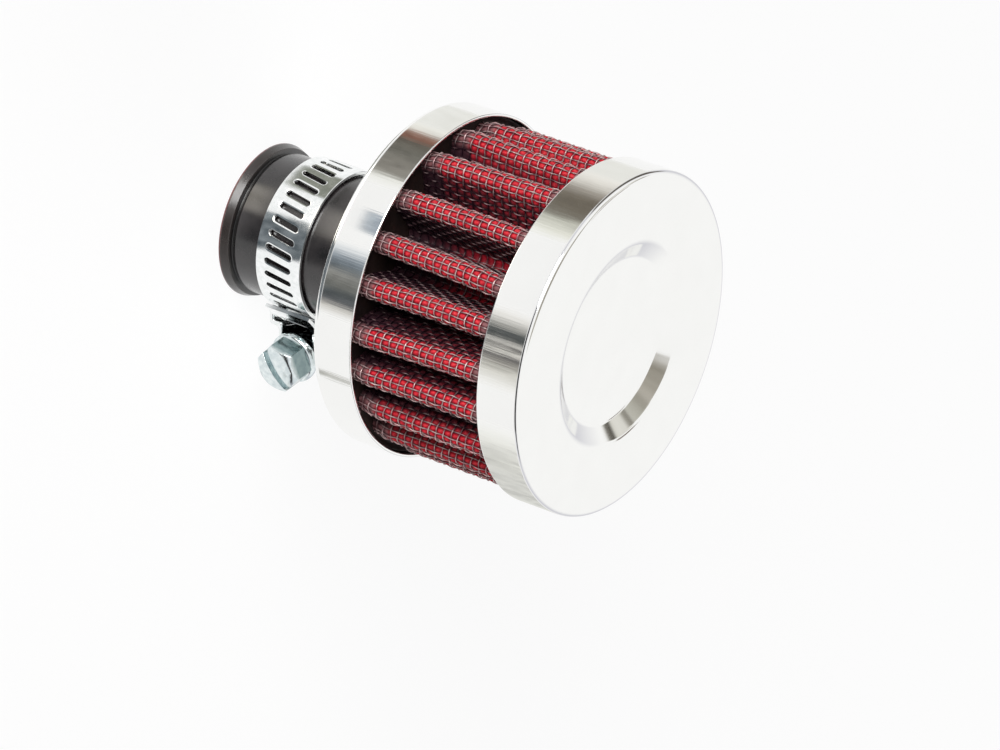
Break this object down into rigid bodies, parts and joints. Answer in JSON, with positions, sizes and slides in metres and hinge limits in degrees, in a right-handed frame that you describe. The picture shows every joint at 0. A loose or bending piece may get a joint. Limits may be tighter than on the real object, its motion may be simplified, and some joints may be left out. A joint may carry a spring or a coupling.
{
  "type": "crankcase breather filter",
  "caption": "Clamp-on breather filter: pleated gauze under wire screen between two pressed metal end caps, on a rubber neck tightened by a slotted worm-drive band.",
  "frame": {"origin": "on the filter's axis at the open end of the rubber neck", "axes": "+Z along the filter's axis from the neck to the front cap, -Y towards the side seen in the picture"},
  "size_m": [0.051, 0.051, 0.0625],
  "materials": {
    "rubber": "moulded, matt, slightly brownish black",
    "chrome": "pressed steel, bright chrome with fine draw lines",
    "potting": "cast compound, matt",
    "gauze": "oiled cotton gauze, red",
    "screen_wire": "woven wire cloth, dull grey with a reddish film",
    "zinc_band": "bright zinc plating",
    "zinc_screw": "blue-white zinc plating"
  },
  "bodies": {
    "filter": {"rubber_neck": "rubber", "rear_cap": "chrome", "front_cap": "chrome", "rear_potting": "potting", "front_potting": "potting", "pleated_gauze": "gauze", "outer_screen": "screen_wire", "inner_screen": "screen_wire", "clamp_band": "zinc_band", "clamp_housing": "zinc_band"},
    "screw": {"clamp_screw": "zinc_screw"}
  },
  "joints": [
    {"name": "screw_turn", "type": "hinge", "parent": "filter", "child": "screw", "pos_m": [0.01254, 0.00945, 0.01045], "axis": [0.6018, -0.7986, 0], "continuous": true}
  ]
}
